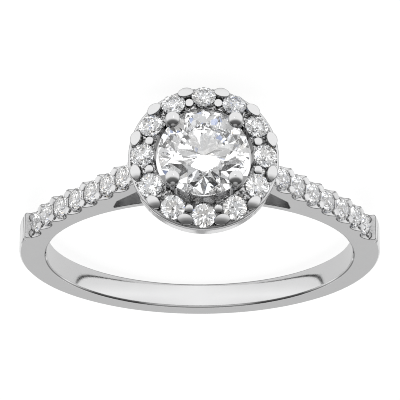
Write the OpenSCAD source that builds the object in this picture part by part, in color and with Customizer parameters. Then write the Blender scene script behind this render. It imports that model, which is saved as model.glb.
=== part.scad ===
// Halo ring. A round centre stone stands in four prongs, a ring of small round stones
// lies round it, and two cathedral shoulders carry a row of small stones each.
// It is drawn upright, with the finger along Y and the head up, and then laid on its
// side, resting on the outside of the halo and on the bottom of the shank. Millimetres.

/* [Finger and shank] */
// Diameter of the finger hole
finger_d = 17; // [15:0.1:20]
// Width of the band along the finger
band_w = 1.45; // [1.4:0.05:2]
// Thickness of the shank at its lowest point
bottom_t = 1.2; // [1:0.05:1.8]
// Thickness of the shank at the two sides of the finger
side_t = 1.47; // [1.4:0.01:1.9]
// Chamfer along the edges of the finger hole
inner_edge = 0.1; // [0.04:0.01:0.15]
// Chamfer along the outer edges of the shank
outer_edge = 0.08; // [0.04:0.01:0.15]

/* [Shoulders] */
// Height of the shoulder stones' widest line above the finger hole
shoulder_rise = 1.1; // [1.05:0.01:1.3]
// Metal left above the widest line of the shoulder stones
shoulder_cover = 0.08; // [0.04:0.01:0.12]
// Depth of the straight shoulder arm below the stones' widest line
arm_depth = 0.76; // [0.66:0.01:0.9]
// Distance inside the halo's rim at which the top of the arm meets the halo
arm_inset = 0.99; // [0.8:0.01:1.2]
// Diameter of a shoulder stone
shoulder_stone_d = 1.24; // [1.1:0.01:1.26]
// Distance from one shoulder stone to the next
shoulder_pitch = 1.37; // [1.32:0.01:1.5]
// Stones in each shoulder
shoulder_stones = 7; // [3:1:7]
// Distance from the halo to the middle of the nearest shoulder stone, along the arm
first_stone_back = 2.1; // [2:0.01:2.6]
// Radius of the U-shaped cut through the band under each shoulder stone
scallop_r = 0.75; // [0.7:0.01:0.9]
// Depth of that cut below the stone's widest line
scallop_depth = 0.22; // [0.1:0.01:0.3]
// Radius of the beads that hold the shoulder stones
shoulder_bead_r = 0.22; // [0.18:0.01:0.24]
// Distance of those beads from the edge of the band
shoulder_bead_edge = 0.27; // [0.25:0.01:0.3]
// Width of the raised bar where the row of stones ends
end_bar_w = 0.42; // [0.3:0.01:0.6]
// Depth of the groove across the shank behind that bar
end_groove = 0.12; // [0.06:0.01:0.2]
// Thickness of the rail that runs on under the head
rail_t = 0.45; // [0.4:0.01:0.6]
// Angle from the head to the far corner of the window between rail and arm
window_angle = 31; // [28:0.5:33]
// Distance along the arm from the halo to the bend in the window's upper edge
window_bend = 3.6; // [3.2:0.1:4]
// Height of the window's far corner above the rail
window_corner_up = 0.12; // [0.08:0.01:0.2]

/* [Centre stone and its prongs] */
// Diameter of the centre stone
centre_stone_d = 4.65; // [4.4:0.05:4.8]
// Height of the centre stone's widest line above the finger hole
centre_rise = 5.13; // [5:0.01:5.5]
// Radius of a prong
prong_r = 0.31; // [0.28:0.01:0.36]
// Radius of the rounded tip of a prong
prong_tip_r = 0.38; // [0.35:0.01:0.42]
// Height of the prong tips above the centre stone's widest line
prong_above = 1; // [0.8:0.01:1.1]
// Distance of a prong's middle inside the edge of the centre stone
prong_inset = 0.06; // [0:0.01:0.08]
// Height of the prongs' bend above the underside of the halo
prong_bend_up = 0.3; // [0.2:0.05:0.5]
// Outer radius of the base ring that stands on the rail
base_outer_r = 1.5; // [1.35:0.01:1.7]
// Inner radius of the base ring
base_inner_r = 0.9; // [0.7:0.01:1]
// Height of the base ring above the rail
base_h = 0.75; // [0.5:0.01:1]

/* [Halo] */
// Height of the halo stones' widest line above the finger hole
halo_rise = 4.78; // [4.6:0.01:4.9]
// Outer radius of the halo's rim
halo_outer_r = 3.86; // [3.84:0.01:4]
// Gap between the centre stone and the halo, seen from above
halo_gap = 0.12; // [0.08:0.01:0.14]
// Height of the halo from its underside to the halo stones' widest line
halo_depth = 1.35; // [1.1:0.01:1.5]
// Slope of the halo's top, and of its stones, down toward the rim
halo_slope = 17; // [12:1:20]
// Stones in the halo
halo_stones = 12; // [12:1:12]
// Diameter of a halo stone
halo_stone_d = 1.24; // [1.15:0.01:1.25]
// Distance of the halo stones from the middle, across the finger
halo_stone_across = 3.14; // [3.12:0.01:3.2]
// Distance of the halo stones from the middle, along the finger
halo_stone_along = 3.28; // [3.14:0.01:3.28]
// Depth of the halo's top below the widest line of its stones
halo_cut = 0.15; // [0.1:0.01:0.2]
// Width of the slope round the inner edge of the halo's top
inner_slope_w = 0.12; // [0.06:0.01:0.14]
// Height of that slope
inner_slope_h = 0.4; // [0.3:0.05:0.6]
// Height of the lip round the rim
lip_h = 0.18; // [0.12:0.01:0.25]
// Depth of the groove under the lip
lip_groove = 0.06; // [0.04:0.01:0.07]
// Taper of the outer wall toward its foot
wall_taper = 0.1; // [0:0.01:0.2]
// Length of an oval outer prong along the rim
oval_l = 0.92; // [0.86:0.01:0.96]
// Width of an oval outer prong, across the rim
oval_w = 0.56; // [0.5:0.01:0.6]
// Distance of the oval prongs' outer side from the rim
oval_edge = 0.06; // [0.04:0.01:0.1]
// Height of the oval prongs above the halo's top
oval_above = 0.38; // [0.32:0.01:0.42]
// Radius of the ball that rounds the top of an oval prong
oval_dome_r = 0.9; // [0.7:0.05:1.2]
// Radius of an inner bead
inner_bead_r = 0.21; // [0.18:0.01:0.23]
// Distance of the inner beads inside the ring of the stones' middles
inner_bead_inset = 0.27; // [0.25:0.01:0.3]
// Height of the inner beads above the halo's top
inner_bead_above = 0.3; // [0.26:0.01:0.32]

/* [Stone cut] */
// Diameter of the flat table, as a share of the stone's diameter
table_share = 0.57; // [0.53:0.01:0.62]
// Slope of the upper main facets
crown_angle = 34.5; // [32:0.5:36]
// Slope of the lower main facets
pavilion_angle = 41; // [40:0.1:42]
// Thickness of the edge, as a share of the stone's diameter
girdle_share = 0.03; // [0.02:0.005:0.04]
// Reach of the star facets from the table toward the edge
star_share = 0.5; // [0.4:0.05:0.6]
// Reach of the lower half facets from the edge toward the point
lower_share = 0.77; // [0.7:0.01:0.85]
// Gap left between each stone and the metal that holds it
stone_gap = 0.02; // [0.015:0.005:0.03]

/* [Colours] */
// Colour of the white metal
metal_colour = "#c9cacc"; // [#c9cacc:White gold, #b8babd:Palladium]
// Colour of the stones
stone_colour = "#e8f1fb"; // [#e8f1fb:Clear, #f3efe2:Warm]

/* [Hidden] */

finger_r = finger_d / 2;
far = 3 * finger_d;

// The outside of the shank is a circle whose middle lies a little toward the head.
bottom_r = finger_r + bottom_t;
side_r = finger_r + side_t;
outer_r = (side_r * side_r / bottom_r + bottom_r) / 2;
outer_shift = (side_r * side_r / bottom_r - bottom_r) / 2;
rail_r = finger_r + rail_t;

// Heights above the middle of the finger.
halo_z = finger_r + halo_rise;
halo_foot_z = halo_z - halo_depth;
centre_z = finger_r + centre_rise;

halo_mid_r = (halo_stone_across + halo_stone_along) / 2;

// Place in the ring of halo stones, at an angle from the far side of the band, and the
// height of the halo's sloped top at a given distance from the middle.
function halo_place(a, inset) =
    [(halo_stone_across - inset) * sin(a), (halo_stone_along - inset) * cos(a)];
function halo_top(r) = halo_z - halo_cut - (r - halo_mid_r) * tan(halo_slope);
halo_inner_r = centre_stone_d / 2 + halo_gap;
lip_z = halo_top(halo_outer_r) - lip_h;

// The shoulders follow the finger and then run straight up to the halo. The straight
// part starts where a line from its meeting point with the halo touches the round.
bed_r = finger_r + shoulder_rise;
meet_x = halo_outer_r - arm_inset;
meet_far = norm([meet_x, halo_foot_z]);
leave_angle = atan2(meet_x, halo_foot_z) + acos(bed_r / meet_far);
arm_l = sqrt(meet_far * meet_far - bed_r * bed_r);

// Angle from the head, and place, of a point on the row of stones. The distance s runs
// from the start of the straight arm toward the head, and is negative on the round.
function row_angle(s) = s < 0 ? leave_angle - s / bed_r * 180 / PI : leave_angle;
function row_point(s) = s < 0
    ? bed_r * [sin(row_angle(s)), cos(row_angle(s))]
    : bed_r * [sin(leave_angle), cos(leave_angle)] + s * [-cos(leave_angle), sin(leave_angle)];
function off_row(s, rise) = row_point(s) + rise * [sin(row_angle(s)), cos(row_angle(s))];
first_s = arm_l - first_stone_back;
function stone_s(i) = first_s - (i - 1) * shoulder_pitch;
row_end_s = stone_s(shoulder_stones) - shoulder_pitch / 2;
row_end_angle = row_angle(row_end_s);
groove_angle = row_end_angle + end_bar_w / outer_r * 180 / PI;

// The finished ring lies on an edge of the shank's bottom and on an edge of the halo, at
// radius r and height z: its lip or its foot, whichever stands out more at that angle.
function edge_tilt(r, z) = atan((r - band_w / 2) / (z + bottom_r - outer_edge));
lip_tilt = edge_tilt(halo_outer_r, lip_z);
foot_tilt = edge_tilt(halo_outer_r - wall_taper, halo_foot_z);
rest_tilt = max(lip_tilt, foot_tilt);

halo_step = 360 / halo_stones;
oval_r = halo_outer_r - oval_edge - oval_w / 2;
// Share of an oval prong's length that its rounded tips leave, and its depth in the metal.
tip_share = 0.9;
oval_root = 0.1;

// An inner bead stands in each gap between halo stones where no centre prong stands.
inner_bead_angles = [for (i = [1:halo_stones]) if (i % 3 != 2) (i - 0.5) * halo_step];

// Heights of a round brilliant above and below its edge.
function crown_h(d) = d / 2 * (1 - table_share) * tan(crown_angle);
function pavilion_h(d) = d / 2 * tan(pavilion_angle);
function polar(r, a, z) = [r * cos(a), r * sin(a), z];

// Height at which a vertical line through p meets the plane through a, b and c.
function plane_z(p, a, b, c) = let (n = cross(b - a, c - a))
    a[2] - (n[0] * (p[0] - a[0]) + n[1] * (p[1] - a[1])) / n[2];

// A point of the round edge half way between corners j and j + 1, on the plane of the
// half facet that runs from there to the inner corner s.
function edge_mid(r, j, z, s) = let (m = polar(r, 22.5 * j + 11.25, 0))
    [m[0], m[1], plane_z(m, s, polar(r, 22.5 * j, z), polar(r, 22.5 * (j + 1), z))];

// Corners of the stone: the table, the ends of the star facets, the ends of the lower
// half facets, the point, and then the upper and the lower line of the edge, each with
// its 16 corners and the 16 points between them. The edge lies at height 0.
function brilliant_points(d) = let (
        r = d / 2,
        g = girdle_share * r,
        table_r = table_share * r,
        star_x = table_r + star_share * (r - table_r),
        lower_x = (1 - lower_share) * r,
        tables = [for (k = [0:7]) polar(table_r, 45 * k, g + crown_h(d))],
        stars = [for (k = [0:7])
            polar(star_x / cos(22.5), 45 * k + 22.5, g + (r - star_x) * tan(crown_angle))],
        lowers = [for (k = [0:7])
            polar(lower_x / cos(22.5), 45 * k + 22.5, -g - (r - lower_x) * tan(pavilion_angle))],
        point = [0, 0, -g - pavilion_h(d)]
    ) concat(
        tables, stars, lowers, [point],
        [for (j = [0:15]) polar(r, 22.5 * j, g)],
        [for (j = [0:15]) edge_mid(r, j, g, stars[floor(j / 2)])],
        [for (j = [0:15]) polar(r, 22.5 * j, -g)],
        [for (j = [0:15]) edge_mid(r, j, -g, lowers[floor(j / 2)])]
    );

// First point of each group above.
star_at = 8;
lower_at = 16;
point_at = 24;
top_at = 25;
top_mid_at = 41;
low_at = 57;
low_mid_at = 73;

// Facets, each listed clockwise from outside: table, stars, upper mains, upper halves,
// the two strips of the edge, lower halves and lower mains.
brilliant_faces = concat(
    [[for (k = [7:-1:0]) k]],
    [for (k = [0:7]) [k, (k + 1) % 8, star_at + k]],
    [for (k = [0:7]) [k, star_at + k, top_at + 2 * k, star_at + (k + 7) % 8]],
    [for (j = [0:15]) [star_at + floor(j / 2), top_at + (j + 1) % 16, top_mid_at + j, top_at + j]],
    [for (j = [0:15]) [top_at + j, top_mid_at + j, low_mid_at + j, low_at + j]],
    [for (j = [0:15]) [top_mid_at + j, top_at + (j + 1) % 16, low_at + (j + 1) % 16, low_mid_at + j]],
    [for (j = [0:15]) [lower_at + floor(j / 2), low_at + j, low_mid_at + j, low_at + (j + 1) % 16]],
    [for (k = [0:7]) [point_at, lower_at + (k + 7) % 8, low_at + 2 * k, lower_at + k]]
);

module brilliant(d) {
    color(stone_colour)
        polyhedron(points = brilliant_points(d), faces = brilliant_faces, convexity = 2);
}

// Space that a stone needs, with its gap, as a solid to cut from the metal.
module stone_seat(d) {
    r = d / 2 + stone_gap;
    g = girdle_share * d / 2 + stone_gap;
    top = g + crown_h(d);
    rotate_extrude($fn = 48)
        polygon([
            [0, -g - r * tan(pavilion_angle)],
            [r, -g],
            [r, g],
            [table_share * d / 2 + stone_gap, top],
            [0, top]
        ]);
}

// Places of the stones in the upright ring: centre, halo and shoulder rows. The first
// halo stone is the one nearest the far side of the band, and they count clockwise.
module at_centre() {
    translate([0, 0, centre_z])
        children();
}

module at_halo(i) {
    a = (i - 1) * halo_step;
    p = halo_place(a, 0);
    translate([p[0], p[1], halo_z])
        rotate([0, 0, 90 - a])
            rotate([0, halo_slope, 0])
                children();
}

module at_row(s, side) {
    p = row_point(s);
    translate([side * p[0], 0, p[1]])
        rotate([0, side * row_angle(s), 0])
            children();
}

// Plain part of the shank, from the end of one row of stones round to the other.
module plain_shank() {
    difference() {
        translate([0, 0, outer_shift])
            rotate([90, 0, 0])
                rotate_extrude($fn = 180)
                    polygon([
                        [0, -band_w / 2],
                        [outer_r - outer_edge, -band_w / 2],
                        [outer_r, outer_edge - band_w / 2],
                        [outer_r, band_w / 2 - outer_edge],
                        [outer_r - outer_edge, band_w / 2],
                        [0, band_w / 2]
                    ]);
        rotate([90, 0, 0])
            linear_extrude(2 * band_w, center = true)
                polygon([
                    [0, 0],
                    far * [sin(row_end_angle), cos(row_end_angle)],
                    [far, far],
                    [-far, far],
                    far * [-sin(row_end_angle), cos(row_end_angle)]
                ]);
        for (side = [-1, 1])
            rotate([0, side * groove_angle, 0])
                translate([0, 0, outer_r])
                    rotate([0, 45, 0])
                        cube([end_groove * sqrt(2), 2 * band_w, end_groove * sqrt(2)], center = true);
    }
}

// Side view of both shoulders with the rail, before the windows are cut. The arms'
// top line dips a hair into the round, so that the two cross.
module shoulder_outline() {
    top_r = bed_r + shoulder_cover;
    dip = 0.01;
    circle(r = top_r, $fn = 180);
    for (side = [-1, 1])
        scale([side, 1])
            polygon([
                [0, 0],
                off_row(0, shoulder_cover - dip),
                off_row(arm_l, shoulder_cover - dip),
                [0, off_row(arm_l, shoulder_cover - dip)[1]]
            ]);
}

// Open space between the rail, the two arms and the head.
module window_outline() {
    corner = (rail_r + window_corner_up) * [sin(window_angle), cos(window_angle)];
    bend = off_row(arm_l - window_bend, -arm_depth);
    end = [halo_inner_r, bend[1] + (bend[0] - halo_inner_r) * tan(leave_angle)];
    difference() {
        for (side = [-1, 1])
            scale([side, 1])
                polygon([[0, 0], corner, bend, end, [halo_inner_r, far], [0, far]]);
        circle(r = rail_r, $fn = 180);
    }
}

module shoulders() {
    difference() {
        rotate([90, 0, 0])
            linear_extrude(band_w, center = true)
                difference() {
                    shoulder_outline();
                    window_outline();
                }
        for (side = [-1, 1], i = [1:shoulder_stones])
            at_row(stone_s(i), side)
                translate([0, 0, scallop_r - scallop_depth])
                    rotate([90, 0, 0])
                        cylinder(r = scallop_r, h = 2 * band_w, center = true, $fn = 48);
    }
}

module shoulder_beads() {
    y = band_w / 2 - shoulder_bead_edge;
    for (side = [-1, 1], i = [0:shoulder_stones], v = [-y, y])
        at_row(stone_s(i + 0.5), side)
            translate([0, v, 0])
                sphere(r = shoulder_bead_r, $fn = 24);
}

module halo_ring() {
    rotate_extrude($fn = 120)
        polygon([
            [halo_inner_r, halo_foot_z],
            [halo_inner_r, halo_top(halo_inner_r) - inner_slope_h],
            [halo_inner_r + inner_slope_w, halo_top(halo_inner_r + inner_slope_w)],
            [halo_outer_r, halo_top(halo_outer_r)],
            [halo_outer_r, lip_z],
            [halo_outer_r - lip_groove, lip_z - lip_groove],
            [halo_outer_r - lip_groove / 4, lip_z - 2 * lip_groove],
            [halo_outer_r - wall_taper, halo_foot_z]
        ]);
}

// Outline of an oval prong: the overlap of two circles, with its two tips rounded off
// by a third.
module oval_outline() {
    side_r = (oval_l * oval_l + oval_w * oval_w) / (4 * oval_w);
    intersection() {
        translate([side_r - oval_w / 2, 0])
            circle(r = side_r, $fn = 96);
        translate([oval_w / 2 - side_r, 0])
            circle(r = side_r, $fn = 96);
        circle(r = tip_share * oval_l / 2, $fn = 48);
    }
}

// Oval prong, standing across the rim: a straight pad with a slightly domed top.
module oval_prong() {
    intersection() {
        translate([0, 0, -oval_root])
            linear_extrude(oval_root + oval_above)
                oval_outline();
        translate([0, 0, oval_above - oval_dome_r])
            rotate([0, 90, 0])
                sphere(r = oval_dome_r, $fn = 64);
    }
}

module outer_prongs() {
    for (i = [1:halo_stones])
        rotate([0, 0, 90 - (i - 0.5) * halo_step])
            translate([oval_r, 0, halo_top(oval_r)])
                rotate([0, halo_slope, 0])
                    oval_prong();
}

module inner_beads() {
    for (a = inner_bead_angles) {
        p = halo_place(a, inner_bead_inset);
        translate([p[0], p[1], halo_top(norm(p)) + inner_bead_above - inner_bead_r])
            sphere(r = inner_bead_r, $fn = 24);
    }
}

// Prong of the centre stone: a leg that leans out from the base ring, an upright post
// beside the stone and a rounded tip over its edge. The post is a hair thicker than the
// leg and starts a little below the bend, so that the two cross.
module centre_prong() {
    post_x = centre_stone_d / 2 - prong_inset;
    post_r = prong_r + 0.02;
    foot_x = (base_outer_r + base_inner_r) / 2;
    foot_z = rail_r + base_h / 2;
    bend_z = halo_foot_z + prong_bend_up;
    post_z = bend_z - prong_r / 2;
    tip_z = centre_z + prong_above - prong_tip_r;
    lean = atan2(post_x - foot_x, bend_z - foot_z);
    translate([foot_x, 0, foot_z])
        rotate([0, lean, 0])
            cylinder(r = prong_r, h = norm([post_x - foot_x, bend_z - foot_z]), $fn = 32);
    translate([post_x, 0, post_z])
        cylinder(r = post_r, h = tip_z - post_z, $fn = 32);
    translate([post_x, 0, tip_z])
        sphere(r = prong_tip_r, $fn = 32);
}

module basket() {
    translate([0, 0, finger_r + rail_t / 2])
        difference() {
            cylinder(r = base_outer_r, h = rail_t / 2 + base_h, $fn = 64);
            translate([0, 0, rail_t])
                cylinder(r = base_inner_r, h = base_h, $fn = 64);
        }
    for (a = [45:90:315])
        rotate([0, 0, a])
            centre_prong();
}

// Finger hole with chamfered edges.
module finger_hole() {
    rotate([90, 0, 0]) {
        cylinder(r = finger_r, h = 4 * band_w, center = true, $fn = 240);
        for (flip = [0, 180])
            rotate([flip, 0, 0])
                translate([0, 0, band_w / 2 - inner_edge])
                    cylinder(r1 = finger_r, r2 = finger_r + 2 * inner_edge, h = 2 * inner_edge, $fn = 240);
    }
}

// Band with its seats: the plain shank, both shoulders and the rail under the head.
module band() {
    difference() {
        union() {
            plain_shank();
            shoulders();
            shoulder_beads();
        }
        finger_hole();
        for (side = [-1, 1], i = [1:shoulder_stones])
            at_row(stone_s(i), side)
                stone_seat(shoulder_stone_d);
    }
}

module halo() {
    difference() {
        union() {
            halo_ring();
            outer_prongs();
            inner_beads();
        }
        for (i = [1:halo_stones])
            at_halo(i)
                stone_seat(halo_stone_d);
    }
}

module centre_setting() {
    difference() {
        basket();
        at_centre()
            stone_seat(centre_stone_d);
    }
}

module metal() {
    color(metal_colour) {
        band();
        halo();
        centre_setting();
    }
}

module centre_stone() {
    at_centre()
        brilliant(centre_stone_d);
}

module halo_stone(i) {
    at_halo(i)
        brilliant(halo_stone_d);
}

// Stone of a shoulder, counted from the halo.
module shoulder_stone(i, side) {
    at_row(stone_s(i), side)
        brilliant(shoulder_stone_d);
}

// Turns the upright ring onto its side, head toward the front and a little raised.
module lay_down() {
    rotate([90 - rest_tilt, 0, 0])
        children();
}

lay_down() metal();
lay_down() centre_stone();
for (i = [1:halo_stones])
    lay_down() halo_stone(i);
for (i = [1:shoulder_stones])
    lay_down() shoulder_stone(i, 1);
for (i = [1:shoulder_stones])
    lay_down() shoulder_stone(i, -1);
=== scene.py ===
"""Looks of the halo ring: polished white metal, clear cut stones, a pale floor and soft studio light."""

import math

import bpy
from mathutils import Matrix, Vector


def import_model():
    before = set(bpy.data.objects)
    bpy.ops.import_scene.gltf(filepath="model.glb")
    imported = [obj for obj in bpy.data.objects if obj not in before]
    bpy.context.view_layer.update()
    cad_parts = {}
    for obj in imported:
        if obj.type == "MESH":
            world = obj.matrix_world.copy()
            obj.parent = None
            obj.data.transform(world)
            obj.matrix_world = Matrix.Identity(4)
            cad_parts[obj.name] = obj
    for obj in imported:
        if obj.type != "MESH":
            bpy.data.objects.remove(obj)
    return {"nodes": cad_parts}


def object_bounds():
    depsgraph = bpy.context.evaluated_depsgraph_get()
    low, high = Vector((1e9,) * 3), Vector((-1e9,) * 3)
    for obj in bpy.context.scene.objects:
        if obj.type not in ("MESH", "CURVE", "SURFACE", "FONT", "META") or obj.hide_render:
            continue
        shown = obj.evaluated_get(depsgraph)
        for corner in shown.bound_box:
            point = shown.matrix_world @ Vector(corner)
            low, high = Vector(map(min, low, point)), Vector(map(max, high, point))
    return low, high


MM = 0.001
WHITE = (1, 1, 1, 1)

# How the ring lies: its finger hole's axis leans this far from upright.
REST_TILT = math.radians(8.017)
HEAD = (0, -math.cos(REST_TILT), math.sin(REST_TILT))
FINGER_AXIS = (0, math.sin(REST_TILT), math.cos(REST_TILT))

# The camera, from the photograph: it looks at the head from above the ring's upper face,
# 150 mm away, and is rolled so that the shank is at the bottom of the picture.
CAMERA_ABOVE_FACE = math.radians(20.2)
CAMERA_YAW = math.radians(0.92)
CAMERA_AWAY = 150 * MM
PICTURE_SIDE = 400
PIXELS_PER_MM = 17.98
RING_MIDDLE_PIXEL = (199.6, 245.5)
SENSOR = 36
NEAREST_SEEN = 0.005
FARTHEST_SEEN = 5

# The finger hole and its chamfer, from the part's source.
FINGER_RADIUS = 8.5 * MM
CHAMFER = 0.1 * MM

# The halo's sloped top, from the part's source: its height above the finger's axis where the
# stones' middles are, that radius, its slope and its outer radius.
HALO_TOP = 13.13 * MM
HALO_MIDDLE = 3.21 * MM
HALO_SLOPE = math.radians(17)
HALO_OUTER = 3.86 * MM

# Where the parts of the head begin: the top's own surface, its rim, what stands up from it, and
# the cavity under the centre stone. A pair is the middle of a range and its reach to each side.
TOP_SKIN = 0.03 * MM
HALO_RIM = 0.1 * MM
RAISED_OVER_TOP = 0.1 * MM
CAVITY_RADIUS = 2.58 * MM
CAVITY_HEIGHT = (12.55 * MM, 0.7 * MM)
RAIL_TOP_HEIGHT = (9.7 * MM, 0.05 * MM)
BEAD_RADIUS = (2.95 * MM, 0.24 * MM)

# The row of stones on a shoulder: it follows a circle round the finger's axis from one angle
# to the other, and from there it runs straight on. The metal round the stones is a bit higher.
ROW_RADIUS = 9.6 * MM
ROW_ENDS = math.radians(72.12)
ROW_LEAVES = math.radians(52.05)
ROW_COVER = 0.08 * MM

# Where a row's look begins: this far out from the head's middle and this deep under the row.
# Its beads stand a little over its metal, and its underside begins deeper down.
ROW_FROM_HEAD = 3.8 * MM
ROW_DEPTH = 0.23 * MM
ROW_BEADS_OVER_METAL = 0.02 * MM
ROW_UNDERSIDE = 0.35 * MM

# The metal on the head's side of this line, along Y, has the setting's deeper painted shade in its
# corners and painted dark lines along its edges.
HEAD_SIDE = -2.85 * MM

# The opening between the finger hole's rail and an arm: half the width of its walls, how far
# out from the finger hole they begin, and their dull polish.
WINDOW_HALF = 0.7 * MM
WINDOW_OFF_RAIL = 1.2 * CHAMFER
WINDOW_ROUGHNESS = 0.35

# Its painted shade, darker toward the finger hole, by the distance from the finger's axis: the start and
# end of the range, then pairs of a place and a tone.
WINDOW_SHADE = (9 * MM, 10 * MM, [(9 * MM, 0.5), (9.35 * MM, 0.88)])

# Faint cloudiness of the plating, and polishing lines round the band.
CLOUD_SCALE = 900
PLATING = [(0.3, (0.825, 0.825, 0.83)), (0.7, (0.84, 0.84, 0.843))]
LINE_SCALE = 2500
LINE_STRETCH = (1, 1, 14)
LINE_STRENGTH = 0.02
LINE_DEPTH = 0.01 * MM
POLISH = [(0.3, 0.045), (0.75, 0.09)]

# Painted shade: how dark the metal is painted in its corners and at the feet of its prongs and beads, by
# the share of the surroundings that shows there, and the dark tone painted in the cavity under the
# centre stone.
CORNER_REACH = 0.9 * MM
SHANK_CORNER_SHADE = [(0.05, 0.3), (0.5, 1.0)]
HEAD_CORNER_SHADE = [(0.1, 0.2), (0.85, 1.0)]
PRONG_FOOT_SHADE = [(0.3, 0.25), (0.55, 1.0)]
BEAD_FOOT_SHADE = [(0.2, 0.5), (0.4, 1.0)]
CAVITY_SHADE = 0.3

# Painted glitter, random light and dark patches that stand in for the reflections of bright-cut facets
# and the shade between the stones: how many there are to a metre, how open the corners are that have
# them in the rows, and the tones that chance gives them on the halo and in the rows.
GLITTER_SCALE = 13000
GLITTER_CORNERS = [(0.4, 1.0), (0.65, 0.0)]
DARK_GLITTER = [(0.0, 0.1), (0.3, 0.32), (0.58, 0.65), (0.8, 1.0)]
LIGHT_GLITTER = [(0.0, 0.3), (0.2, 0.6), (0.45, 1.0)]

# Painted dark reflections: dark lines painted along the head's edges, their width and their tone by how
# far the softened and the flat surface agree, and the painted shade on the prongs' sides, by how steep
# they are.
EDGE_SHADE_WIDTH = 0.075 * MM
EDGE_SHADE_TONES = [(0.92, 0.15), (0.99, 1.0)]
STEEP_SIDE_SHADE = [(0.4, 1.0), (0.7, 0.55)]

# The dark line painted on the chamfer, a painted dark reflection, whose outer edge is at 0.5.
CHAMFER_LINE_SHADE = [(0.2, 1.0), (0.25, 0.4), (0.485, 0.4), (0.495, 1.0)]

# The softening of every edge, and how much the domes of the prongs and beads are flattened.
SOFT_EDGE = 0.05 * MM
FLATTER_RAISED = 0.5
FLATTER_BEADS = 2.5

# Patches that a stone sees in place of the floor and the tent.
SPARKLE = [
    (0.0, 0.03),
    (0.2, 0.2),
    (0.34, 0.55),
    (0.44, (0.34, 0.42, 0.68)),
    (0.49, (1.0, 0.86, 0.66)),
    (0.52, 1.5),
]
FLOOR_PATCHES = 480
TENT_PATCHES = 1.6

# The stones: the faint tints painted on their facets in place of fire, and how much each facet may glow
# by itself, a painted glint.
DIAMOND_IOR = 2.417
PAINTED_FIRE_TINTS = [
    (0.0, (0.93, 0.96, 1.0)),
    (0.3, (0.98, 0.99, 1.0)),
    (0.7, (1.0, 1.0, 1.0)),
    (1.0, (1.0, 0.97, 0.92)),
]
FACET_STEP = 0.05
PAINTED_GLOW = 0.06
ROW_PAINTED_GLOW = 0.2

# The floor that the camera sees: mostly its own glow, so that only a faint shadow is left.
FLOOR_HALF = 0.6
FLOOR_GLOW = 0.94
FLOOR_TONE = 0.25
FLOOR_MOTTLE = 0.01
FLOOR_MOTTLE_SCALE = 300
FLOOR_ROUGHNESS = 0.7

# What the metal sees of the floor round the ring, in millimetres: along Y, to the sides, and
# from the middle outward. Each has the start and end of its range, then pairs of a place and a
# tone or share.
FLOOR_ALONG = (-15, -5, [(-9.5, 0.97), (-5.5, 0.42)])
BESIDE_RING = (0, 20, [(9.6, 0.0), (11, 1.0)])
BESIDE_RING_TONE = 0.85
IN_HOLE = (0, 10, [(9, 1.0), (9.5, 0.0)])

# The card in the finger hole ends at a slanted line, where 0.43 times the way across plus 0.9
# times the way along is 6.47 mm, and at the sides, where 0.4 times the way across is 1.35 mm.
SLANT_ACROSS = 0.43
SLANT_ALONG = 0.9
SLANT_AT = 6.47
SIDE_ACROSS = 0.4
SIDE_AT = 1.35

# The tones of that card and of its edge by the way across, where the edge starts and ends past
# those lines, and the tone beyond it.
CARD_TONES = (0, 10, [(0, 1.0), (1.9, 0.84), (3.4, 0.8)])
EDGE_TONES = (0, 10, [(2, 0.65), (2.35, 0.2), (2.7, 0.02)])
EDGE_STARTS = (-0.25, 0.25, [(-0.02, 0.0), (0.01, 1.0)])
EDGE_ENDS = (-0.25, 0.25, [(0.12, 0.0), (0.15, 1.0)])
BEYOND_CARD_TONE = 0.68

# The small lamp that the metal and the stones see on the floor, in millimetres.
LAMP_PLACE = (-0.4, -34.0, 0)
LAMP_STRETCH = (1 / 0.75, 1 / 1.8, 0)
LAMP_EDGE = 1.5
LAMP_WOBBLE = 0.9
LAMP_COLOUR = (8, 8, 8, 1)

# The tent's brightness from level to straight up, behind the ring and before it, and where one
# turns into the other.
TENT_BEHIND = [(0.0, 0.5), (0.2, 0.575), (0.3, 0.6), (0.42, 1.2), (0.78, 1.25), (0.88, 0.1), (0.94, 0.6)]
TENT_BEFORE = [(0.0, 0.95), (0.14, 0.8), (0.3, 0.34), (0.48, 0.14), (0.88, 0.1), (0.94, 0.6)]
TENT_TURNS = [(0.65, 0.0), (0.85, 1.0)]

# The soft light over the ring: its place beside and over the middle of the floor, its side in
# metres and its power in watts.
SOFTBOX_ASIDE = (0.02, 0.08)
SOFTBOX_HEIGHT = 0.35
SOFTBOX_SIDE = 0.3
SOFTBOX_POWER = 0.12

# Width in pixels of the filter that blends neighbouring samples, narrow for crisp small facets.
SHARP_FILTER = 1.0


def main():
    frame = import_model()
    cad_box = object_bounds()
    floor_height = cad_box[0].z
    dress_metal(frame["nodes"])
    dress_stones(frame["nodes"])
    make_floor(floor_height)
    make_light(floor_height)
    make_camera()
    set_picture()


# Node trees


def new_material(name):
    """A material with an empty node tree, its output node and its tree."""
    material = bpy.data.materials.new(name)
    material.use_nodes = True
    tree = material.node_tree
    tree.nodes.clear()
    return material, tree, tree.nodes.new("ShaderNodeOutputMaterial")


def add(tree, kind, inputs=None, **settings):
    """A new node, with its settings and inputs. An input is a value or another node's output."""
    node = tree.nodes.new(kind)
    for name, value in settings.items():
        setattr(node, name, value)
    for name, value in (inputs or {}).items():
        if isinstance(value, bpy.types.NodeSocket):
            tree.links.new(value, node.inputs[name])
        else:
            node.inputs[name].default_value = value
    return node


def grey(tone):
    return (tone, tone, tone, 1)


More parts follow.
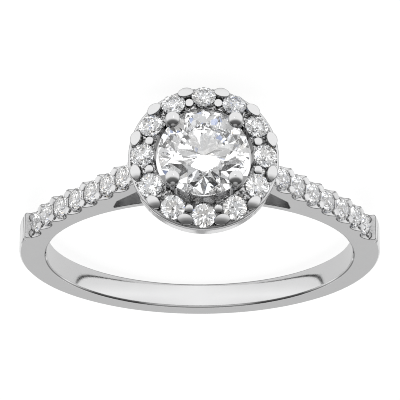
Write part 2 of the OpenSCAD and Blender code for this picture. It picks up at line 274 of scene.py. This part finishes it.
def ramp(tree, factor, stops, interpolation="LINEAR"):
    """A colour ramp's output. stops are pairs of a place and a grey or a colour."""
    node = add(tree, "ShaderNodeValToRGB", {"Fac": factor})
    node.color_ramp.interpolation = interpolation
    elements = node.color_ramp.elements
    while len(elements) < len(stops):
        elements.new(0.5)
    for element, (place, colour) in zip(elements, stops):
        element.position = place
        element.color = grey(colour) if isinstance(colour, (int, float)) else (*colour, 1)
    return node.outputs["Color"]


def fade(tree, value, start, end, stops):
    """A colour ramp over a value that runs from start to end, as do the places of its stops."""
    span = end - start
    share = math_node(tree, "MULTIPLY_ADD", value, 1 / span, -start / span)
    return ramp(tree, share, [((place - start) / span, colour) for place, colour in stops])


def math_node(tree, operation, *values, clamp=False):
    """The output of a Math node."""
    node = add(tree, "ShaderNodeMath", dict(enumerate(values)), operation=operation)
    node.use_clamp = clamp
    return node.outputs["Value"]


def times(tree, first, second):
    return math_node(tree, "MULTIPLY", first, second)


def vector_math(tree, operation, *values, scale=None):
    """The output of a Vector Math node: a number for a dot product or length, or else a vector."""
    inputs = dict(enumerate(values))
    if scale is not None:
        inputs["Scale"] = scale
    node = add(tree, "ShaderNodeVectorMath", inputs, operation=operation)
    return node.outputs["Value" if operation in ("DOT_PRODUCT", "LENGTH") else "Vector"]


def mix(tree, factor, first, second, blend="MIX"):
    """The output of a colour mix."""
    node = add(tree, "ShaderNodeMix", data_type="RGBA", blend_type=blend)
    for index, value in ((0, factor), (6, first), (7, second)):
        if isinstance(value, bpy.types.NodeSocket):
            tree.links.new(value, node.inputs[index])
        else:
            node.inputs[index].default_value = value
    return node.outputs[2]


def noise(tree, place, scale):
    """A smooth random value that changes from place to place."""
    inputs = {"Vector": place, "Scale": scale, "Detail": 2}
    return add(tree, "ShaderNodeTexNoise", inputs).outputs["Fac"]


def cells(tree, place, scale, stops):
    """Sharp-edged random patches, each with the colour that chance gives it from the stops."""
    colours = add(tree, "ShaderNodeTexVoronoi", {"Vector": place, "Scale": scale}).outputs["Color"]
    chance = add(tree, "ShaderNodeSeparateColor", {"Color": colours}).outputs["Red"]
    return ramp(tree, chance, stops, "CONSTANT")


def light_path(tree, name):
    return add(tree, "ShaderNodeLightPath").outputs[name]


def through_stone(tree):
    """1 for a ray that has passed into a stone, or else 0."""
    return math_node(tree, "GREATER_THAN", light_path(tree, "Transmission Depth"), 0.5)


def direct(tree):
    """1 for a ray that hasn't passed into a stone, or else 0."""
    return math_node(tree, "LESS_THAN", light_path(tree, "Transmission Depth"), 0.5)


def from_axis(tree, place, axis):
    """A point's place along an axis through the frame's origin, and its distance from the axis."""
    along = vector_math(tree, "DOT_PRODUCT", place, axis)
    on_axis = vector_math(tree, "SCALE", axis, scale=along)
    off = vector_math(tree, "SUBTRACT", place, on_axis)
    return along, vector_math(tree, "LENGTH", off)


# Metal


def white_gold():
    """Rhodium-plated white gold: mirror polish and faint polishing lines, with painted shade in its
    corners, painted dark lines along its edges, and painted glitter between the stones."""
    material, tree, output = new_material("white_gold")
    place = add(tree, "ShaderNodeTexCoord").outputs["Object"]
    plating = ramp(tree, noise(tree, place, CLOUD_SCALE), PLATING)
    stretched = add(tree, "ShaderNodeMapping", {"Vector": place, "Scale": LINE_STRETCH})
    lines = noise(tree, stretched.outputs["Vector"], LINE_SCALE)
    along, out = from_axis(tree, place, FINGER_AXIS)
    masks = metal_masks(tree, place, along, out)
    # The plating's colour is multiplied by painted shade, painted dark edge lines and painted glitter.
    tone = painted_light_factor(tree, place, out, masks)
    polish = ramp(tree, lines, POLISH)
    shader = add(
        tree,
        "ShaderNodeBsdfPrincipled",
        {
            "Base Color": mix(tree, 1.0, plating, tone, "MULTIPLY"),
            "Metallic": 1.0,
            "Roughness": mix(tree, masks["window"], polish, grey(WINDOW_ROUGHNESS)),
            "Normal": metal_normal(tree, place, lines, masks),
        },
    )
    tree.links.new(shader.outputs["BSDF"], output.inputs["Surface"])
    return material


def metal_masks(tree, place, along, out):
    """All masks of the metal, by name. along is the place along the finger's axis, and out is
    the distance from it."""
    masks = {**halo_masks(tree, place), **row_masks(tree, place)}
    to_shank = add(tree, "ShaderNodeSeparateXYZ", {"Vector": place}).outputs["Y"]
    masks["head_side"] = math_node(tree, "LESS_THAN", to_shank, HEAD_SIDE)
    masks["window"] = window_mask(tree, along, out, masks)
    return masks


def halo_masks(tree, place):
    """Masks: the halo's sloped top, what stands up from it, the cavity under the centre stone
    with the top of the rail below it, and the beads between the halo stones."""
    along, radius = from_axis(tree, place, HEAD)
    slope = math.tan(HALO_SLOPE)
    level = math_node(tree, "MULTIPLY_ADD", radius, slope, along)
    above = math_node(tree, "SUBTRACT", level, HALO_TOP + HALO_MIDDLE * slope)
    near = math_node(tree, "LESS_THAN", math_node(tree, "ABSOLUTE", above), TOP_SKIN)
    within = math_node(tree, "LESS_THAN", radius, HALO_OUTER - HALO_RIM)
    raised = math_node(tree, "GREATER_THAN", above, RAISED_OVER_TOP)
    inside = math_node(tree, "LESS_THAN", radius, CAVITY_RADIUS)
    low = math_node(tree, "COMPARE", along, *CAVITY_HEIGHT)
    rail_top = math_node(tree, "COMPARE", along, *RAIL_TOP_HEIGHT)
    at_beads = math_node(tree, "COMPARE", radius, *BEAD_RADIUS)
    return {
        "bed": times(tree, near, within),
        "raised": raised,
        "cavity": times(tree, inside, math_node(tree, "MAXIMUM", low, rail_top)),
        "bead": times(tree, raised, at_beads),
    }


def row_masks(tree, place):
    """Masks: the metal between the stones of the shoulders, the beads there, and all that lies
    well under the rows."""
    along = vector_math(tree, "DOT_PRODUCT", place, HEAD)
    to_side = add(tree, "ShaderNodeSeparateXYZ", {"Vector": place}).outputs["X"]
    across = math_node(tree, "ABSOLUTE", to_side)
    over = over_row(tree, across, along)
    aside = math_node(tree, "GREATER_THAN", across, ROW_FROM_HEAD)
    end = times(tree, across, 1 / math.tan(ROW_ENDS))
    beside = times(tree, aside, math_node(tree, "GREATER_THAN", along, end))
    in_metal = math_node(tree, "GREATER_THAN", over, ROW_RADIUS - ROW_DEPTH)
    over_metal = math_node(tree, "GREATER_THAN", over, ROW_RADIUS + ROW_COVER + ROW_BEADS_OVER_METAL)
    return {
        "row": times(tree, in_metal, beside),
        "row_bead": times(tree, over_metal, beside),
        "under_row": math_node(tree, "LESS_THAN", over, ROW_RADIUS - ROW_UNDERSIDE),
    }


def over_row(tree, across, along):
    """A point's distance from the finger's axis, measured as the rows run: from the axis where
    they are round, and square to the row from there on."""
    sine = math.sin(ROW_LEAVES)
    cosine = math.cos(ROW_LEAVES)
    over_line = math_node(tree, "MULTIPLY_ADD", along, cosine, times(tree, across, sine))
    past = times(tree, along, sine)
    straight = math_node(tree, "GREATER_THAN", past, times(tree, across, cosine))
    flat = add(tree, "ShaderNodeCombineXYZ", {"X": across, "Y": along}).outputs["Vector"]
    return mix(tree, straight, vector_math(tree, "LENGTH", flat), over_line)


def window_mask(tree, along, out, masks):
    """Mask: the walls of the openings between the finger hole's rail and the arms."""
    from_middle = math_node(tree, "ABSOLUTE", along)
    between_faces = math_node(tree, "LESS_THAN", from_middle, WINDOW_HALF)
    off_rail = math_node(tree, "GREATER_THAN", out, FINGER_RADIUS + WINDOW_OFF_RAIL)
    between = times(tree, between_faces, off_rail)
    return times(tree, times(tree, between, masks["under_row"]), masks["head_side"])


def painted_light_factor(tree, place, out, masks):
    """A factor of painted light on the metal: painted shade in its corners and openings, painted dark
    lines along its edges and chamfer, and painted glitter, though not as a stone sees it.
    """
    around = add(tree, "ShaderNodeAmbientOcclusion", {"Distance": CORNER_REACH}, samples=8)
    open_sky = around.outputs["AO"]
    # Painted shade in the corners, at the feet of the prongs and beads, and in the cavity under the
    # centre stone.
    tone = painted_corner_shade(tree, open_sky, masks)
    # Painted glitter and shade: mostly dark random patches on the halo's top between the stones.
    tone = mix(tree, masks["bed"], tone, cells(tree, place, GLITTER_SCALE, DARK_GLITTER))
    # Painted glints: light random patches in the rows' corners, in place of their painted shade.
    row_glitter_spots = times(tree, masks["row"], ramp(tree, open_sky, GLITTER_CORNERS))
    tone = mix(tree, row_glitter_spots, tone, cells(tree, place, GLITTER_SCALE, LIGHT_GLITTER))
    # Painted shade on the walls of the openings, darker toward the finger hole.
    tone = mix(tree, masks["window"], tone, fade(tree, out, *WINDOW_SHADE))
    # Painted dark reflections along the head's edges and painted shade on the prongs' steep sides.
    tone = mix(tree, 1.0, tone, painted_edge_shade(tree, masks), "MULTIPLY")
    # Painted dark reflection: a dark line on the chamfer round the finger hole.
    tone = mix(tree, 1.0, tone, painted_chamfer_line(tree, out), "MULTIPLY")
    return mix(tree, direct(tree), WHITE, tone)


def painted_corner_shade(tree, open_sky, masks):
    """A factor of painted shade that darkens the metal where little of the surroundings shows, and in
    the cavity under the centre stone.
    """
    shank_shade = ramp(tree, open_sky, SHANK_CORNER_SHADE)
    tone = mix(tree, masks["head_side"], shank_shade, ramp(tree, open_sky, HEAD_CORNER_SHADE))
    tone = mix(tree, masks["raised"], tone, ramp(tree, open_sky, PRONG_FOOT_SHADE))
    tone = mix(tree, masks["bead"], tone, ramp(tree, open_sky, BEAD_FOOT_SHADE))
    return mix(tree, masks["cavity"], tone, grey(CAVITY_SHADE))


def painted_chamfer_line(tree, out):
    """A factor that paints a dark line, a painted dark reflection, on the outer part of the chamfer
    round the finger hole.
    """
    past_hole = math_node(tree, "SUBTRACT", out, FINGER_RADIUS)
    share = math_node(tree, "DIVIDE", past_hole, 2 * CHAMFER)
    return ramp(tree, share, CHAMFER_LINE_SHADE)


def painted_edge_shade(tree, masks):
    """A factor of painted dark reflections and shade: a fine dark line painted along the head's edges,
    and darker steep sides of its prongs."""
    rounded = add(tree, "ShaderNodeBevel", {"Radius": EDGE_SHADE_WIDTH}, samples=8).outputs["Normal"]
    flat = add(tree, "ShaderNodeNewGeometry").outputs["Normal"]
    agree = vector_math(tree, "DOT_PRODUCT", rounded, flat)
    edge_shade = ramp(tree, agree, EDGE_SHADE_TONES)
    level = math_node(tree, "ABSOLUTE", vector_math(tree, "DOT_PRODUCT", flat, HEAD))
    steep = math_node(tree, "SUBTRACT", 1, level)
    prongs = math_node(tree, "SUBTRACT", masks["raised"], masks["bead"])
    prong_side_shade = mix(tree, prongs, WHITE, ramp(tree, steep, STEEP_SIDE_SHADE))
    both = mix(tree, 1.0, edge_shade, prong_side_shade, "MULTIPLY")
    return mix(tree, masks["head_side"], WHITE, both)


def metal_normal(tree, place, lines, masks):
    """The metal's normal, with softened edges, flatter prongs and beads, and polishing lines."""
    edge = add(tree, "ShaderNodeBevel", {"Radius": SOFT_EDGE}, samples=6).outputs["Normal"]
    any_raised = math_node(tree, "MAXIMUM", masks["raised"], masks["row_bead"])
    any_bead = math_node(tree, "MAXIMUM", masks["bead"], masks["row_bead"])
    flatter = times(tree, any_raised, FLATTER_RAISED)
    flatter = math_node(tree, "MULTIPLY_ADD", any_bead, FLATTER_BEADS, flatter)
    bump = {
        "Height": lines,
        "Strength": LINE_STRENGTH,
        "Distance": LINE_DEPTH,
        "Normal": flattened(tree, place, edge, flatter),
    }
    return add(tree, "ShaderNodeBump", bump).outputs["Normal"]


def flattened(tree, place, normal, amount):
    """A normal turned toward straight out from the frame's origin, as if the form were flatter."""
    outward = vector_math(tree, "NORMALIZE", place)
    lean = vector_math(tree, "SCALE", outward, scale=amount)
    return vector_math(tree, "NORMALIZE", vector_math(tree, "ADD", lean, normal))


def dress_metal(nodes):
    use_material(nodes["metal"], white_gold())


def use_material(piece, material):
    piece.data.materials.clear()
    piece.data.materials.append(material)
    for polygon in piece.data.polygons:
        polygon.material_index = 0


# Stones


def cut_stone(name, painted_glow):
    """Clear stone with the refraction of diamond. Each facet has a faint painted tint in place of fire,
    and a painted glint: it glows a little by itself.
    """
    material, tree, output = new_material(name)
    facet = add(tree, "ShaderNodeNewGeometry").outputs["True Normal"]
    snapped = vector_math(tree, "SNAP", facet, (FACET_STEP,) * 3)
    chance = add(tree, "ShaderNodeTexWhiteNoise", {"Vector": snapped}, noise_dimensions="3D")
    other = add(tree, "ShaderNodeSeparateColor", {"Color": chance.outputs["Color"]}).outputs["Green"]
    own_painted_glow = times(tree, other, painted_glow)
    shader = add(
        tree,
        "ShaderNodeBsdfPrincipled",
        {
            # Painted fire: a faint tint of its own on each facet.
            "Base Color": ramp(tree, chance.outputs["Value"], PAINTED_FIRE_TINTS),
            "Transmission Weight": 1.0,
            "Roughness": 0.0,
            "IOR": DIAMOND_IOR,
            # Painted glint: each facet glows a little by itself, for rays that haven't passed into a
            # stone.
            "Emission Color": WHITE,
            "Emission Strength": times(tree, own_painted_glow, direct(tree)),
        },
    )
    tree.links.new(shader.outputs["BSDF"], output.inputs["Surface"])
    return material


def dress_stones(nodes):
    plain = cut_stone("clear_stone", PAINTED_GLOW)
    lively = cut_stone("clear_row_stone", ROW_PAINTED_GLOW)
    for name, piece in nodes.items():
        if "stone" in name:
            use_material(piece, lively if "left" in name or "right" in name else plain)


# Floor, light and camera


def make_floor(height):
    """A flat floor at a height, under all that is seen."""
    low, high = -FLOOR_HALF, FLOOR_HALF
    mesh = bpy.data.meshes.new("floor")
    corners = [(low, low, height), (high, low, height), (high, high, height), (low, high, height)]
    mesh.from_pydata(corners, [], [(0, 1, 2, 3)])
    mesh.materials.append(pale_floor())
    floor = bpy.data.objects.new("floor", mesh)
    bpy.context.scene.collection.objects.link(floor)


def pale_floor():
    """Pale and glowing to the camera. The metal sees it as a table with cards on it, and the
    stones see patches of light and dark."""
    material, tree, output = new_material("pale_floor")
    place = add(tree, "ShaderNodeTexCoord").outputs["Object"]
    mottle = [(0.3, FLOOR_TONE - FLOOR_MOTTLE), (0.7, FLOOR_TONE + FLOOR_MOTTLE)]
    seen = add(
        tree,
        "ShaderNodeBsdfPrincipled",
        {
            "Base Color": ramp(tree, noise(tree, place, FLOOR_MOTTLE_SCALE), mottle),
            "Roughness": FLOOR_ROUGHNESS,
            "Specular IOR Level": 0.0,
            "Emission Color": WHITE,
            "Emission Strength": FLOOR_GLOW,
        },
    )
    in_stone = through_stone(tree)
    patches = cells(tree, place, FLOOR_PATCHES, SPARKLE)
    mirrored = add(
        tree, "ShaderNodeEmission", {"Color": mix(tree, in_stone, floor_cards(tree, place), patches)}
    )
    in_mirror = math_node(tree, "ADD", light_path(tree, "Is Glossy Ray"), in_stone, clamp=True)
    either = add(
        tree,
        "ShaderNodeMixShader",
        {0: in_mirror, 1: seen.outputs["BSDF"], 2: mirrored.outputs["Emission"]},
    )
    tree.links.new(either.outputs["Shader"], output.inputs["Surface"])
    return material


def floor_cards(tree, place):
    """What the polished metal sees of the floor: white before the head, grey behind the ring,
    light beside it, and inside the finger hole a white card with a dark edge at its corners."""
    spot = vector_math(tree, "MULTIPLY", place, (1 / MM, 1 / MM, 0))
    axes = add(tree, "ShaderNodeSeparateXYZ", {"Vector": spot})
    along = axes.outputs["Y"]
    aside = math_node(tree, "ABSOLUTE", axes.outputs["X"])
    around = fade(tree, along, *FLOOR_ALONG)
    beside = fade(tree, aside, *BESIDE_RING)
    around = mix(tree, beside, around, grey(BESIDE_RING_TONE), "LIGHTEN")
    in_hole = fade(tree, vector_math(tree, "LENGTH", spot), *IN_HOLE)
    floor = mix(tree, in_hole, around, inner_card(tree, along, aside))
    return mix(tree, lamp_spot(tree, spot), floor, LAMP_COLOUR)


def inner_card(tree, along, aside):
    """The white card in the finger hole and its edge, which is dark only at the corners."""
    card = fade(tree, aside, *CARD_TONES)
    edge = fade(tree, aside, *EDGE_TONES)
    slant = math_node(tree, "MULTIPLY_ADD", aside, SLANT_ACROSS, times(tree, along, SLANT_ALONG))
    past_slant = math_node(tree, "SUBTRACT", slant, SLANT_AT)
    past_side = math_node(tree, "MULTIPLY_ADD", aside, SIDE_ACROSS, -SIDE_AT)
    past = math_node(tree, "MAXIMUM", past_slant, past_side)
    card = mix(tree, fade(tree, past, *EDGE_STARTS), card, edge)
    return mix(tree, fade(tree, past, *EDGE_ENDS), card, grey(BEYOND_CARD_TONE))


def lamp_spot(tree, spot):
    """Mask: a small lamp low before the head, for the bright patch on the centre stone's table."""
    from_lamp = vector_math(tree, "SUBTRACT", spot, LAMP_PLACE)
    scaled = vector_math(tree, "MULTIPLY", from_lamp, LAMP_STRETCH)
    wobble = noise(tree, spot, LAMP_WOBBLE)
    edge = math_node(tree, "ADD", vector_math(tree, "LENGTH", scaled), wobble)
    return math_node(tree, "LESS_THAN", edge, LAMP_EDGE)


def make_light(floor_height):
    """A studio tent: grey low behind the ring, bright above that, dark in front, and a dark ring
    round a lighter spot overhead."""
    world = bpy.data.worlds.new("studio")
    bpy.context.scene.world = world
    world.use_nodes = True
    tree = world.node_tree
    tree.nodes.clear()
    output = add(tree, "ShaderNodeOutputWorld")
    direction = add(tree, "ShaderNodeTexCoord").outputs["Generated"]
    axes = add(tree, "ShaderNodeSeparateXYZ", {"Vector": direction})
    height = math_node(tree, "MULTIPLY", axes.outputs["Z"], 1.0, clamp=True)
    behind = ramp(tree, height, TENT_BEHIND)
    before = ramp(tree, height, TENT_BEFORE)
    toward_back = math_node(tree, "MULTIPLY_ADD", axes.outputs["Y"], 0.5, 0.5)
    tent = mix(tree, ramp(tree, toward_back, TENT_TURNS), before, behind)
    patches = cells(tree, direction, TENT_PATCHES, SPARKLE)
    colour = mix(tree, through_stone(tree), tent, patches)
    background = add(tree, "ShaderNodeBackground", {"Color": colour, "Strength": 1.0})
    tree.links.new(background.outputs["Background"], output.inputs["Surface"])
    add_softbox((*SOFTBOX_ASIDE, floor_height + SOFTBOX_HEIGHT))


def add_softbox(place):
    """A square soft light that points at the frame's origin. The metal doesn't mirror it."""
    light = bpy.data.lights.new("top_softbox", "AREA")
    light.shape = "SQUARE"
    light.size = SOFTBOX_SIDE
    light.energy = SOFTBOX_POWER
    lamp = bpy.data.objects.new("top_softbox", light)
    lamp.visible_glossy = False
    bpy.context.scene.collection.objects.link(lamp)
    lamp.location = place
    lamp.rotation_euler = (-Vector(place)).to_track_quat("-Z", "Y").to_euler()


def make_camera():
    """The photograph's camera. It shifts its picture so that the ring sits where it does there."""
    head = Vector(HEAD)
    under = -Vector(FINGER_AXIS)
    sideways = Vector((1, 0, 0))
    level = math.cos(CAMERA_YAW) * head + math.sin(CAMERA_YAW) * sideways
    back = math.cos(CAMERA_ABOVE_FACE) * level - math.sin(CAMERA_ABOVE_FACE) * under
    up = math.sin(CAMERA_ABOVE_FACE) * level + math.cos(CAMERA_ABOVE_FACE) * under
    right = up.cross(back)
    camera = bpy.data.cameras.new("camera")
    camera.sensor_width = SENSOR
    camera.lens = SENSOR * PIXELS_PER_MM * CAMERA_AWAY / MM / PICTURE_SIDE
    camera.shift_x = (PICTURE_SIDE / 2 - RING_MIDDLE_PIXEL[0]) / PICTURE_SIDE
    camera.shift_y = (RING_MIDDLE_PIXEL[1] - PICTURE_SIDE / 2) / PICTURE_SIDE
    camera.clip_start = NEAREST_SEEN
    camera.clip_end = FARTHEST_SEEN
    seat = bpy.data.objects.new("camera", camera)
    bpy.context.scene.collection.objects.link(seat)
    turn = Matrix((right, up, back)).transposed().to_4x4()
    seat.matrix_world = Matrix.Translation(back * CAMERA_AWAY) @ turn
    bpy.context.scene.camera = seat


def set_picture():
    scene = bpy.context.scene
    scene.view_settings.view_transform = "Standard"
    scene.view_settings.look = "None"
    scene.cycles.max_bounces = 24
    scene.cycles.glossy_bounces = 10
    scene.cycles.transmission_bounces = 20
    scene.cycles.caustics_reflective = False
    scene.cycles.caustics_refractive = False
    scene.cycles.use_denoising = True
    scene.cycles.filter_width = SHARP_FILTER
    scene.cycles.sample_clamp_indirect = 8
    scene.cycles.seed = 7


main()
